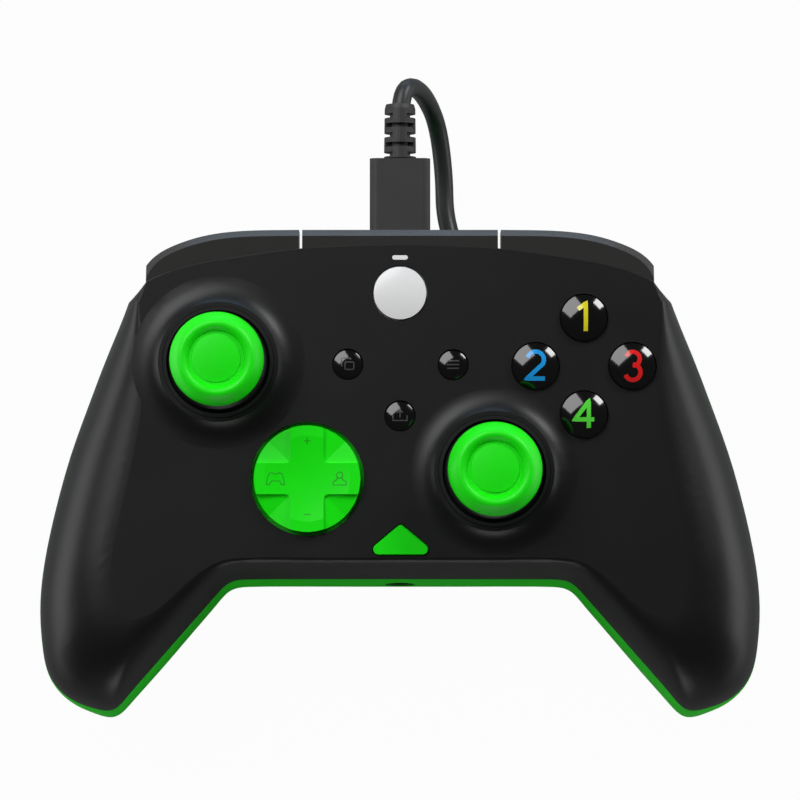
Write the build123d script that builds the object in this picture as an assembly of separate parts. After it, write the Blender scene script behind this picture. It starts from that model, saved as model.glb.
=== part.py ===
from build123d import *
import math
import os

# A wired gamepad with offset sticks. Lengths are in millimetres.
# While it is drawn, the origin lies on the table under the middle of the face:
# +X to the player's right, +Y to the rear edge, +Z up. The finished part is then
# shifted along Y, so that the origin is under the middle of the whole pad.

# Casing
half_width = 77.5
plate_reach = 33.7
tip_reach = 65.2
face_height = 44.0
waist_height = 26.0
wall = 2.0
seam_gap = 0.15
lean_share = 0.097
belly_height = 19.6
arch_foot_half = 53.5
arch_top_half = 39.5
arch_round = 5.0
overrun = 40.0
quarter_turn = 90.0

# Half outlines, from the middle of the rear edge to the right and round to the
# middle of the front: shares of half_width, and of plate_reach or tip_reach.
rear_waist_shares = [(0.0, 1.0), (0.15, 0.991), (0.271, 0.976), (0.441, 0.923),
                     (0.61, 0.846), (0.702, 0.772)]
rear_face_shares = [(0.0, 0.982), (0.15, 0.973), (0.271, 0.958), (0.441, 0.905),
                    (0.61, 0.828), (0.695, 0.748)]
rear_base_shares = [(0.0, 0.42), (0.12, 0.42), (0.24, 0.42), (0.38, 0.40),
                    (0.50, 0.36), (0.56, 0.30)]
side_waist_shares = [(0.757, 0.662), (0.787, 0.50), (0.818, 0.335), (0.868, 0.036),
                     (0.915, -0.138), (0.952, -0.294), (0.983, -0.46), (1.0, -0.647),
                     (0.994, -0.767), (0.969, -0.882), (0.923, -0.945), (0.852, -0.988),
                     (0.794, -0.998), (0.755, -0.958), (0.671, -0.845), (0.574, -0.713),
                     (0.504, -0.617), (0.468, -0.577), (0.415, -0.567), (0.232, -0.567),
                     (0.0, -0.567)]
side_face_shares = [(0.716, 0.62), (0.71, 0.44), (0.702, 0.26), (0.71, -0.03),
                    (0.73, -0.18), (0.755, -0.31), (0.777, -0.43), (0.79, -0.52),
                    (0.79, -0.59), (0.783, -0.65), (0.772, -0.685), (0.755, -0.71),
                    (0.735, -0.718), (0.713, -0.712), (0.668, -0.685), (0.605, -0.62),
                    (0.54, -0.555), (0.49, -0.525), (0.42, -0.514), (0.232, -0.514),
                    (0.0, -0.514)]
side_base_shares = [(0.60, 0.22), (0.63, 0.16), (0.66, 0.10), (0.745, -0.06),
                    (0.79, -0.18), (0.82, -0.30), (0.838, -0.44), (0.847, -0.57),
                    (0.843, -0.66), (0.828, -0.73), (0.808, -0.77), (0.782, -0.79),
                    (0.755, -0.797), (0.73, -0.785), (0.695, -0.74), (0.66, -0.66),
                    (0.60, -0.55), (0.54, -0.49), (0.43, -0.45), (0.232, -0.43),
                    (0.0, -0.43)]
parting_shares = [(0.0, 0.75), (0.5, 0.742), (0.76, 0.716), (0.9, 0.655), (1.06, 0.59)]
top_turns = (20, 40, 58, 74, 90)
base_turns = (90, 66, 44, 22)

# Rear edge: bridge, bumpers and the bay that they stand in
bumper_reach = 36.65
bridge_half = 20.9
bumper_gap = 0.64
lip = 2.1
bay_depth = 3.4
bumper_height = 10.6
bumper_top_gap = 0.25
bumper_edge = 1.4
bumper_end = 54.2
bumper_play = 1.7
bumper_outer_shares = [(0.0, 1.0), (0.40, 0.992), (0.62, 0.965), (0.80, 0.915),
                       (0.92, 0.86), (1.0, 0.79)]

# Thumb sticks
left_stick_at = (-38.6, 8.0)
right_stick_at = (20.0, -15.2)
stick_pivot_drop = 6.0
stick_rise = 14.6
cap_radius = 9.9
cap_foot_radius = 9.2
cap_foot_rise = 0.9
cap_top_radius = 8.75
cap_top_drop = 0.9
cap_crest_radius = 7.7
cap_thick = 4.6
cap_groove_radius = 5.75
cap_groove_depth = 1.3
cap_dish_radius = 5.05
cap_dish_rise = 0.6
cap_dish_depth = 0.35
neck_radius = 4.2
dome_radius = 13.0
dome_wall = 1.0
seat_gap = 0.4
rim_radius = 11.9
mound_rise = 2.0
mound_reach_left = 5.6
mound_reach_right = 5.2
mound_lip = 0.9
mound_curve_share = 0.35
ring_width = 0.8
ring_drop = 0.7
ring_rise = 0.3
ring_fit = 0.1
shaft_radius = 1.6
shaft_below = 2.7
housing_side = 15.0
housing_floor = 1.2
housing_wall = 1.2
housing_above = 3.0
rocker_side = 9.6
rocker_wall = 1.4
rocker_thick = 3.0
trunnion_radius = 1.1
swivel_side = 5.6
swivel_pin_radius = 0.8
running_fit = 0.05
sensor_gap = 0.1
sensor_size = (2.3, 7.6, 7.0)
spring_radius = 3.9
spring_wall = 0.7
spring_height = 2.6
stick_switch_side = 3.2
stick_switch_height = 1.8

# Direction pad
dpad_at = (-19.7, -16.8)
dpad_radius = 11.3
dpad_gap = 0.8
dpad_rise = 2.1
dpad_arm_x = 6.6
dpad_arm_y = 7.0
dpad_arm_rise = 1.0
dpad_dish_radius = 60.0
dpad_dish_depth = 0.7
dpad_corner = 1.3
dpad_flange = 1.5
dpad_flange_drop = 1.0
dpad_flange_thick = 1.2
dpad_recess_radius = 9.0
dpad_recess_drop = 0.3
dpad_rocker_radius = 4.0
dpad_rocker_gap = 0.45
dpad_rocker_thick = 1.5
dpad_nub_radius = 1.5
dpad_post_radius = 2.4
dpad_pad_radius = 2.2
dpad_pad_gap = 0.75

# Face buttons and the small buttons
diamond_at = (39.1, 7.2)
diamond_pitch = 10.3
button_radius = 4.85
button_gap = 0.35
button_rise = 2.3
button_dome = 1.3
button_travel = 1.5
button_room = 4.0
flange_width = 0.9
flange_thick = 1.0
flange_drop = 0.4
stem_radius = 3.0
stem_gap = 0.15
guide_at = (0.0, 22.8)
guide_radius = 5.6
guide_rise = 0.9
guide_dome = 0.7
guide_travel = 0.6
view_at = (-11.1, 7.6)
menu_at = (11.3, 7.5)
share_at = (0.0, -3.4)
small_radius = 3.0
small_rise = 0.9
small_dome = 0.7
small_travel = 0.8
small_stem_radius = 1.8
function_at = (0.1, -29.6)
function_half = 7.7
function_depth = 6.45
function_corner = 1.1
function_rise = 0.7
function_gap = 0.3
function_tip = 0.8
light_at = (0.0, 30.4)
light_length = 3.3
light_width = 0.94
light_depth = 1.8
light_fit = 0.05

# Boards and what stands on them
board_thick = 1.6
board_half = 53.0
board_rear = 19.0
board_tab_half = 8.0
board_tab_rear = 29.6
board_front = 31.5
board_corner = 6.0
board_top = 31.0
membrane_thick = 1.0
membrane_dome = 1.6
membrane_margin = 1.2
jack_height = 25.2
jack_radius = 1.8
jack_rim_radius = 3.1
jack_size = (7.0, 11.0, 6.2)
jack_fit = 0.1
usb_axis = 32.7
usb_width = 8.94
usb_height = 3.16
usb_length = 6.6
usb_rear = 31.8
usb_wall = 0.3

# Triggers, their pins, springs and frame
trigger_inner = 23.2
trigger_outer = 47.0
pivot_y = 21.1
pivot_z = 25.4
pivot_radius = 1.25
pivot_boss = 3.4
pin_reach = 1.9
ear_thick = 1.3
ear_gap = 0.4
ear_half = 2.4
frame_depth = 3.0
frame_height = 7.0
frame_gap = 0.4
frame_y = 13.7
trigger_spring_inset = 8.0
trigger_spring_length = 6.0
trigger_spring_wall = 0.9
trigger_spring_gap = 0.6
pocket_gap = 0.6
pocket_front = 20.5
pocket_floor = 7.0
trigger_top = 29.6
trigger_bottom = 12.6
trigger_reach = 33.9
trigger_rear_shares = [(0.9, 1.0), (1.0, 0.88), (0.98, 0.61), (0.89, 0.32), (0.93, 0.11),
                       (0.83, 0.0)]
trigger_front_shares = [(0.83, 0.0), (0.73, 0.06), (0.65, 0.32), (0.46, 0.56), (0.18, 0.57)]

# Rumble motors in the grips
motor_radius = 8.0
motor_length = 19.0
motor_x = 60.0
motor_front = -44.2
motor_gap = 0.3
motor_shaft_radius = 1.0
weight_radius = 6.8
weight_length = 6.5
weight_hub = 2.4
weight_gap = 0.8

# Rear buttons on the inner side of the grips
rear_button_y = 0.0
rear_button_length = 21.0
rear_button_width = 6.4
rear_button_thick = 3.2
rear_button_proud = 1.1
rear_button_share = 0.68
rear_button_gap = 0.3
rear_button_clear = 10.0

# Case screws
screw_spots_shares = [(0.785, -0.74), (0.735, 0.258)]
screw_radius = 1.4
screw_head_radius = 2.7
screw_head_thick = 1.8
screw_fit = 0.15
boss_radius = 3.4
screw_bite = 7.0
screw_seat = 9.0

# Cable: plug at the pad, cord, put-away coil and the plug at the far end
cord_radius = 2.0
plug_width = 13.0
plug_thick = 7.4
plug_corner = 1.6
plug_front = 34.6
plug_rear = 52.5
plug_fit = 0.5
tongue_fit = 0.15
relief_radius = 3.5
relief_end = 61.5
relief_tip = 2.6
relief_ribs = 3
relief_cut = 0.8
relief_cut_share = 0.4
coil_centre = (2.0, 0.0)
coil_outer = 30.9
coil_pitch = 4.45
coil_turns = (4.0, 4.0, 3.75, 3.5)
coil_lift = 2.85
coil_knots = 4
coil_drop_turns = 0.5
coil_drop_reach = 0.2
gap_steps = 48
bend_share = 0.45
least_turn = 1e-9
tie_width = 5.0
tie_thick = 0.6
tie_gap = 0.2
tie_turn = 135.0
cord_route = [
    (0.0, 61.5, 32.7), (0.0, 68.8, 32.7), (4.4, 66.8, 21.5), (7.2, 61.4, 13.2),
    (9.4, 51.4, 11.2), (9.8, 42.0, 11.6), (12.6, 33.4, 13.4), (20.0, 26.0, 15.6),
    (27.6, 19.4, 16.2), (32.9, 11.6, 16.2), (32.9, 4.0, 16.2)]
tail_route = [
    (-2.0, -29.7875, 2.85), (-12.0, -29.7875, 2.85), (-23.6, -27.2, 3.0), (-33.2, -21.4, 3.6),
    (-39.2, -13.6, 4.0), (-39.2, -6.0, 4.0)]
far_plug_x = -39.2
far_plug_y = 2.0
far_plug_width = 14.2
far_plug_length = 20.0
far_plug_height = 8.0
far_plug_corner = 1.8
far_relief_length = 8.0
far_relief_radius = 3.0
far_shell_width = 12.0
far_shell_length = 12.5
far_shell_height = 4.5
far_shell_wall = 0.4


def place_shares(shares):
    """Turn the shares of a half outline into places."""
    return [(x * half_width, y * (plate_reach if y > 0 else tip_reach)) for x, y in shares]


def between(first, second, share):
    return [(a[0] + (b[0] - a[0]) * share, a[1] + (b[1] - a[1]) * share)
            for a, b in zip(first, second)]


def inset_loop(points, amount):
    """Move each point of a clockwise loop inwards, square to its neighbours."""
    moved = []
    for i, (x, y) in enumerate(points):
        before = points[i - 1]
        after = points[(i + 1) % len(points)]
        run = math.hypot(after[0] - before[0], after[1] - before[1])
        moved.append((x + (after[1] - before[1]) / run * amount,
                      y - (after[0] - before[0]) / run * amount))
    return moved


def casing_section(rear, side, height, inset):
    """One level outline of the casing: rear curve, shoulders and the rest."""
    rear_left = [(-x, y) for x, y in reversed(rear[1:])]
    side_left = [(-x, y) for x, y in reversed(side[:-1])]
    loop = inset_loop(rear + side + side_left + rear_left, inset)
    lean = (face_height - height) * lean_share
    points = [(x, y - lean, height) for x, y in loop]
    turn = len(rear)
    last = len(rear) + len(side) + len(side_left)
    rear_points = points[last:] + points[:turn]
    side_points = points[turn:last]
    return Wire([Spline(*rear_points), Line(rear_points[-1], side_points[0]),
                 Spline(*side_points), Line(side_points[-1], rear_points[0])])


def casing_block(inset=0.0):
    """The whole casing as one rounded block, or its hollow when inset by a wall."""
    rear_waist, side_waist = place_shares(rear_waist_shares), place_shares(side_waist_shares)
    rear_face, side_face = place_shares(rear_face_shares), place_shares(side_face_shares)
    rear_base, side_base = place_shares(rear_base_shares), place_shares(side_base_shares)
    sections = []
    for turn in base_turns:
        share = 1 - math.cos(math.radians(turn))
        height = waist_height - (waist_height - inset) * math.sin(math.radians(turn))
        sections.append(casing_section(between(rear_waist, rear_base, share),
                                       between(side_waist, side_base, share), height, inset))
    sections.append(casing_section(rear_waist, side_waist, waist_height, inset))
    for turn in top_turns:
        share = 1 - math.cos(math.radians(turn))
        height = waist_height + (face_height - inset - waist_height) * math.sin(math.radians(turn))
        sections.append(casing_section(between(rear_waist, rear_face, share),
                                       between(side_waist, side_face, share), height, inset))
    return Solid.make_loft(sections)


def arch(grow=0.0):
    """The tunnel between the grips, under the belly."""
    slope = (arch_foot_half - arch_top_half) / belly_height
    foot = arch_foot_half + math.hypot(1, slope) * grow
    top = belly_height + grow
    points = [(-foot - slope * overrun, -overrun), (-foot + slope * top, top),
              (foot - slope * top, top), (foot + slope * overrun, -overrun)]
    face = make_face(Plane.XZ * Polyline(*points, close=True))
    block = extrude(face, amount=2 * tip_reach, both=True)
    edges = block.edges().filter_by(Axis.Y).group_by(Axis.Z)[-1]
    return fillet(edges, arch_round + grow)


def above_parting(shift=0.0):
    """Everything above the line where the two shells meet."""
    right = [(x * half_width, y * face_height + shift) for x, y in parting_shares]
    left = [(-x, y) for x, y in reversed(right[1:])]
    points = left + right
    line = Spline(*points)
    lid = Polyline(points[-1], (points[-1][0], face_height + overrun),
                   (points[0][0], face_height + overrun), points[0])
    return extrude(make_face(Plane.XZ * (Curve() + [line, lid])), amount=2 * tip_reach, both=True)


def rod(radius, low, high, at=(0.0, 0.0)):
    """A round bar along Z between two heights."""
    bar = Cylinder(radius, high - low, align=(Align.CENTER, Align.CENTER, Align.MIN))
    return Pos(at[0], at[1], low) * bar


def rod_x(radius, start, end, y, z):
    return Pos(start, y, z) * Rot(0, quarter_turn, 0) * rod(radius, 0.0, end - start)


def rod_y(radius, start, end, x, z):
    return Pos(x, start, z) * Rot(-quarter_turn, 0, 0) * rod(radius, 0.0, end - start)


def block(x_range, y_range, z_range):
    """A box between two values along each axis."""
    sides = [span[1] - span[0] for span in (x_range, y_range, z_range)]
    return Pos(x_range[0], y_range[0], z_range[0]) * Box(*sides, align=(Align.MIN,) * 3)


def spun(edges, at, height):
    """A round piece: a closed half profile in XZ, turned about Z at a place."""
    face = make_face(Plane.XZ * (Curve() + edges))
    return Pos(at[0], at[1], height) * revolve(face, axis=Axis.Z)


def ball(radius, at, height):
    return Pos(at[0], at[1], height) * Sphere(radius)


def joined(pieces):
    """One group from a list of pieces."""
    whole = pieces[0]
    for piece in pieces[1:]:
        whole += piece
    return whole


def both_sides(piece):
    return piece + mirror(piece, about=Plane.YZ)


def rear_curve(inset):
    """The casing's rear edge at the waist, moved inwards, from left to right."""
    rear, side = place_shares(rear_waist_shares), place_shares(side_waist_shares)
    rear_left = [(-x, y) for x, y in reversed(rear[1:])]
    side_left = [(-x, y) for x, y in reversed(side[:-1])]
    loop = inset_loop(rear + side + side_left + rear_left, inset)
    return loop[len(rear + side + side_left):] + loop[:len(rear)]


bumper_top = face_height - lip - bumper_top_gap
bumper_bottom = bumper_top - bumper_height
bay_floor = bumper_bottom - bumper_top_gap
bumper_inner = bridge_half + bumper_gap
bay_half = bumper_end + bumper_top_gap
pivot_height = face_height - stick_pivot_drop
under_plate = face_height - wall


def bumper_bay():
    """The ledge along the rear edge that the bridge and the bumpers stand in."""
    inner = [point for point in rear_curve(bay_depth) if abs(point[0]) < bay_half]
    line = Spline(*inner)
    end = inner[-1]
    lid = Polyline(end, (bay_half, end[1]), (bay_half, end[1] + overrun),
                   (-bay_half, end[1] + overrun), (-bay_half, end[1]), inner[0])
    floor = Pos(0, 0, bay_floor) * make_face(Curve() + [line, lid])
    return extrude(floor, amount=face_height - lip - bay_floor)


def plug_way():
    """The way for the cable plug through the bridge and the rear wall."""
    return block((-plug_width / 2 - plug_fit, plug_width / 2 + plug_fit),
                 (board_tab_rear, bumper_reach + overrun),
                 (usb_axis - plug_thick / 2 - plug_fit, usb_axis + plug_thick / 2 + plug_fit))


def trigger_way():
    way = block((trigger_inner - pocket_gap, trigger_outer + pocket_gap),
                (pocket_front, bumper_reach + overrun), (pocket_floor, bay_floor + overrun))
    below_bay = block((-half_width, half_width), (-overrun, bumper_reach + 2 * overrun),
                      (-overrun, bay_floor))
    return both_sides(way & below_bay)


def button_outline(grow=0.0):
    """The rounded triangle of the function button, grown evenly all round."""
    half, depth = function_half, function_depth
    inner = half * depth / (half + math.hypot(half, depth))
    scale = (inner + grow) / inner
    low = -depth / 2 - grow
    points = [(-half * scale, low), (half * scale, low), (0.0, low + depth * scale)]
    face = make_face(Polyline(*points, close=True))
    corners = face.vertices().sort_by(Axis.Y)
    face = fillet(corners[:2], function_corner + grow)
    return fillet(face.vertices().group_by(Axis.Y)[-1], function_tip + grow)


def function_block(grow, low, high):
    outline = Pos(function_at[0], function_at[1], low) * button_outline(grow)
    return extrude(outline, amount=high - low)


def light_block(grow, low, high):
    outline = SlotOverall(light_length + 2 * grow, light_width + 2 * grow)
    return extrude(Pos(light_at[0], light_at[1], low) * outline, amount=high - low)


def diamond_places():
    x, y = diamond_at
    return {"face_button_top": (x, y + diamond_pitch), "face_button_left": (x - diamond_pitch, y),
            "face_button_right": (x + diamond_pitch, y), "face_button_bottom": (x, y - diamond_pitch)}


def small_places():
    return {"view_button": view_at, "menu_button": menu_at, "share_button": share_at}


def mound(at, reach):
    """The flared collar that the plate raises round a stick."""
    low, top = -wall, mound_rise
    brow = rim_radius + mound_lip
    foot = brow + reach
    flare = Bezier((brow, top), (brow + reach * mound_curve_share, 0.0), (foot, 0.0))
    edges = [Line((0.0, low), (0.0, top)), Line((0.0, top), (brow, top)), flare,
             Line((foot, 0.0), (foot, low)), Line((foot, low), (0.0, low))]
    return spun(edges, at, face_height)


def stick_well(at):
    """The room for a stick's dome, and the rim above it."""
    return (ball(dome_radius + seat_gap, at, pivot_height)
            + rod(rim_radius, face_height, face_height + overrun, at))


def boss_places():
    return place_shares(screw_spots_shares)


def boss_posts(radius):
    """Straight posts at the screws, as tall as the whole casing."""
    posts = [rod(radius, 0.0, face_height, at) for at in boss_places()]
    return both_sides(posts[0] + posts[1])


def rear_button_planes():
    """Where each rear button sits on the sloped inner side of its grip."""
    slope = (arch_foot_half - arch_top_half) / belly_height
    height = belly_height * rear_button_share
    x = arch_foot_half - slope * height
    right = Plane(origin=(x, rear_button_y, height), x_dir=(0, 1, 0), z_dir=(-1, 0, -slope))
    left = Plane(origin=(-x, rear_button_y, height), x_dir=(0, 1, 0), z_dir=(1, 0, -slope))
    return left, right


def rear_button_block(plane, grow, proud, deep):
    outline = SlotOverall(rear_button_length + 2 * grow, rear_button_width + 2 * grow)
    return extrude(plane.offset(-deep) * outline, amount=deep + proud)


def make_shells():
    outer = casing_block() - arch()
    hollow = casing_block(wall) - arch(wall)
    posts = boss_posts(boss_radius) & hollow
    mounds = mound(left_stick_at, mound_reach_left) + mound(right_stick_at, mound_reach_right)
    above = above_parting()
    plate = ((outer - hollow) & above) + (posts & above)
    plate += mounds - hollow
    for at in (left_stick_at, right_stick_at):
        plate -= stick_well(at)
    holes = [rod(dpad_radius + dpad_gap, waist_height, face_height + overrun, dpad_at),
             rod(guide_radius + button_gap, waist_height, face_height + overrun, guide_at)]
    holes += [rod(button_radius + button_gap, waist_height, face_height + overrun, at)
              for at in diamond_places().values()]
    holes += [rod(small_radius + button_gap, waist_height, face_height + overrun, at)
              for at in small_places().values()]
    holes += [rod(button_radius + flange_width + button_gap, under_plate - button_room,
                  under_plate, at) for at in diamond_places().values()]
    holes.append(function_block(function_gap, under_plate - wall, face_height + wall))
    holes.append(function_block(flange_width + function_gap, board_top, under_plate))
    holes.append(light_block(light_fit, under_plate - wall, face_height + wall))
    for hole in holes:
        plate -= hole
    bay = bumper_bay()
    plate = plate - bay - plug_way()
    shell = (outer - hollow) - above_parting(-seam_gap)
    shell += posts - above_parting(-seam_gap)
    shell = shell - bay - plug_way() - trigger_way()
    shell -= rod_y(jack_rim_radius + jack_fit, -tip_reach, -board_front, 0.0, jack_height)
    for plane in rear_button_planes():
        shell -= rear_button_block(plane, rear_button_gap, rear_button_clear, 2 * wall)
    for at in [(side * x, y) for x, y in boss_places() for side in (-1, 1)]:
        shell -= rod(screw_radius + screw_fit, -overrun, face_height, at)
        shell -= rod(screw_head_radius + screw_fit, -overrun, screw_seat, at)
        plate -= rod(screw_radius + screw_fit, -overrun, screw_seat + screw_reach(), at)
    return plate, shell


def screw_reach():
    """How far a screw's shank goes up past its seat."""
    return waist_height - screw_seat + screw_bite


def make_screws():
    screws = []
    for at in [(side * x, y) for x, y in boss_places() for side in (-1, 1)]:
        head = rod(screw_head_radius, screw_seat - screw_head_thick, screw_seat, at)
        shank = rod(screw_radius, screw_seat, screw_seat + screw_reach() - screw_fit, at)
        screws.append(head + shank)
    return joined(screws)


def make_bridge():
    """The fixed middle piece of the rear edge, with the mouth for the plug."""
    curve = rear_curve(bumper_play)
    inner = Spline(*[point for point in curve if abs(point[0]) < bumper_end])
    lid = Polyline(inner @ 1, (inner.position_at(1).X, bumper_reach),
                   (inner.position_at(0).X, bumper_reach), inner @ 0)
    floor = Pos(0, 0, bumper_bottom) * make_face(Curve() + [inner, lid])
    piece = extrude(floor, amount=bumper_height)
    piece &= block((-bridge_half, bridge_half), (0.0, bumper_reach + overrun),
                   (0.0, face_height))
    rear_edge = piece.edges().filter_by(Axis.X).group_by(Axis.Z)[-1].sort_by(Axis.Y)[-1]
    piece = chamfer(rear_edge, bumper_edge)
    return piece - plug_way()


def make_bumper():
    """The right bumper: its outer curve, tucked under the plate's lip."""
    inner_points = [point for point in rear_curve(bumper_play)
                    if bumper_end > point[0] > bumper_inner]
    whole = Spline(*[point for point in rear_curve(bumper_play) if abs(point[0]) < bumper_end])
    outer = [(bumper_inner + share_x * (bumper_end - bumper_inner), share_y * bumper_reach)
             for share_x, share_y in bumper_outer_shares]
    rim = Spline(*outer)
    base_y = whole.position_at(1).Y
    lid = Polyline(outer[-1], (bumper_end, base_y - wall), (bumper_inner, base_y - wall), outer[0])
    floor = Pos(0, 0, bumper_bottom) * make_face(Curve() + [rim, lid])
    piece = extrude(floor, amount=bumper_height)
    rim_edge = piece.edges().filter_by(GeomType.BSPLINE).group_by(Axis.Z)[-1]
    piece = chamfer(rim_edge, bumper_edge)
    left, right = whole.position_at(0), whole.position_at(1)
    behind = Polyline(right, (bumper_end + wall, right.Y), (bumper_end + wall, -overrun),
                      (left.X, -overrun), left)
    inside = Pos(0, 0, bumper_bottom - wall) * make_face(Curve() + [whole, behind])
    piece -= extrude(inside, amount=bumper_height + 2 * wall)
    return piece & block((bumper_inner, bumper_end), (inner_points[-1][1] - wall,
                         bumper_reach + wall), (bumper_bottom - wall, face_height))


def make_trigger():
    """The right trigger: a hooked lever with a boss round its pin."""
    reach, height = trigger_reach - pivot_y, trigger_top - trigger_bottom
    rear = [(pivot_y + y * reach, trigger_bottom + z * height) for y, z in trigger_rear_shares]
    front = [(pivot_y + y * reach, trigger_bottom + z * height) for y, z in trigger_front_shares]
    lid = Polyline(front[-1], (pivot_y, pivot_z), (pivot_y, trigger_top), rear[0])
    face = make_face(Plane.YZ * (Curve() + [Spline(*rear), Spline(*front), lid]))
    lever = Pos(trigger_inner, 0, 0) * extrude(face, amount=trigger_outer - trigger_inner,
                                              dir=(1, 0, 0))
    lever += rod_x(pivot_boss, trigger_inner, trigger_outer, pivot_y, pivot_z)
    room_start = trigger_inner + trigger_spring_inset
    room = rod_x(pivot_boss + trigger_spring_gap, room_start - trigger_spring_gap,
                 room_start + trigger_spring_length + trigger_spring_gap, pivot_y, pivot_z)
    bore = rod_x(pivot_radius + running_fit, 0.0, half_width, pivot_y, pivot_z)
    return lever - room - bore


def trigger_pin():
    return rod_x(pivot_radius, trigger_inner - pin_reach, trigger_outer + pin_reach,
                 pivot_y, pivot_z)


def trigger_spring():
    start = trigger_inner + trigger_spring_inset
    tube = rod_x(pivot_radius + trigger_spring_wall, start, start + trigger_spring_length,
                 pivot_y, pivot_z)
    return tube - rod_x(pivot_radius + running_fit, 0.0, half_width, pivot_y, pivot_z)


def make_shoulder_frame():
    """The bar behind the triggers, with an ear at each end of both pins."""
    top = board_top - board_thick - frame_gap
    first = trigger_inner - ear_gap - ear_thick
    last = trigger_outer + ear_gap + ear_thick
    frame = block((-last, last), (frame_y, frame_y + frame_depth), (top - frame_height, top))
    for x in (first, last - ear_thick):
        frame += both_sides(block((x, x + ear_thick), (frame_y, pivot_y + ear_half),
                                  (pivot_z - ear_half, pivot_z + ear_half)))
    return frame - both_sides(rod_x(pivot_radius + running_fit, 0.0, half_width,
                                    pivot_y, pivot_z))


def dome_arc(radius, low, high):
    """An arc from a rim to the middle, with its centre on the axis."""
    rise = high - low
    curve = (radius ** 2 + rise ** 2) / (2 * rise)
    half = radius / 2
    return ThreePointArc((radius, low), (half, high - curve + math.sqrt(curve ** 2 - half ** 2)),
                         (0.0, high))


def stick_cap(at):
    """The rubbery cap: convex crown, sunk groove and a slightly raised middle."""
    top, low = stick_rise, stick_rise - cap_thick
    middle = top - cap_groove_depth + cap_dish_rise
    side = Spline((cap_foot_radius, low), (cap_radius, low + cap_foot_rise),
                  (cap_top_radius, top - cap_top_drop), (cap_crest_radius, top),
                  (cap_groove_radius, top - cap_groove_depth))
    floor = top - cap_groove_depth
    dish = dome_arc(cap_dish_radius, middle - cap_dish_depth, middle)
    edges = [Line((0.0, low), (cap_foot_radius, low)), side,
             Line((cap_groove_radius, floor), (cap_dish_radius, floor)),
             Line((cap_dish_radius, floor), (cap_dish_radius, middle - cap_dish_depth)), dish,
             Line((0.0, middle), (0.0, low))]
    return spun(edges, at, face_height)


def stick_stem(at):
    """Dome, neck and shaft in one: the part of the stick under its cap."""
    inner = dome_radius - dome_wall
    top = stick_pivot_drop + stick_rise - cap_thick
    neck_height = math.sqrt(dome_radius ** 2 - neck_radius ** 2)
    shaft_height = math.sqrt(inner ** 2 - shaft_radius ** 2)
    half_turn = math.sqrt(0.5)
    edges = [Line((0.0, -shaft_below), (shaft_radius, -shaft_below)),
             Line((shaft_radius, -shaft_below), (shaft_radius, shaft_height)),
             ThreePointArc((shaft_radius, shaft_height), (inner * half_turn, inner * half_turn),
                           (inner, 0.0)),
             Line((inner, 0.0), (dome_radius, 0.0)),
             ThreePointArc((dome_radius, 0.0), (dome_radius * half_turn, dome_radius * half_turn),
                           (neck_radius, neck_height)),
             Line((neck_radius, neck_height), (neck_radius, top)),
             Line((neck_radius, top), (0.0, top)), Line((0.0, top), (0.0, -shaft_below))]
    return spun(edges, at, pivot_height)


def stick_ring(at):
    """The ring of slippery plastic set in the rim of the well."""
    low = face_height + mound_rise - ring_drop
    high = face_height + mound_rise + ring_rise
    outer = rim_radius - ring_fit
    return rod(outer, low, high, at) - rod(outer - ring_width, low - wall, high + wall, at)


def stick_housing(at):
    """The box of the stick's sensor unit, open at the top."""
    x, y = at
    half = housing_side / 2
    inner = half - housing_wall
    box = block((x - half, x + half), (y - half, y + half),
                (board_top, pivot_height + housing_above))
    box -= block((x - inner, x + inner), (y - inner, y + inner),
                 (board_top + housing_floor, face_height + wall))
    return box - rod_x(trunnion_radius + running_fit, x - housing_side, x + housing_side,
                       y, pivot_height)


def stick_rocker(at):
    """The square ring that tips about X on two trunnions."""
    x, y = at
    half, thick = rocker_side / 2, rocker_thick / 2
    inner = half - rocker_wall
    ring = block((x - half, x + half), (y - half, y + half),
                 (pivot_height - thick, pivot_height + thick))
    ring += rod_x(trunnion_radius, x - housing_side / 2, x + housing_side / 2, y, pivot_height)
    ring -= block((x - inner, x + inner), (y - inner, y + inner), (0.0, face_height + wall))
    return ring - rod_y(swivel_pin_radius + running_fit, y - rocker_side, y + rocker_side,
                        x, pivot_height)


def stick_swivel(at):
    """The block in the rocker that tips about Y and guides the shaft."""
    x, y = at
    half, thick = swivel_side / 2, rocker_thick / 2
    piece = block((x - half, x + half), (y - half, y + half),
                  (pivot_height - thick, pivot_height + thick))
    piece += rod_y(swivel_pin_radius, y - rocker_side / 2, y + rocker_side / 2, x, pivot_height)
    return piece - rod(shaft_radius + running_fit, 0.0, face_height, at)


def stick_sensors(at):
    """The two sensors on the housing's side and front."""
    x, y = at
    thick, wide, tall = sensor_size
    start = housing_side / 2 + sensor_gap
    side = block((x + start, x + start + thick), (y - wide / 2, y + wide / 2),
                 (board_top, board_top + tall))
    front = block((x - wide / 2, x + wide / 2), (y - start - thick, y - start),
                  (board_top, board_top + tall))
    return side + front


def stick_spring(at):
    low = board_top + housing_floor
    tube = rod(spring_radius, low, low + spring_height, at)
    return tube - rod(spring_radius - spring_wall, low - wall, low + spring_height + wall, at)


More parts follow.
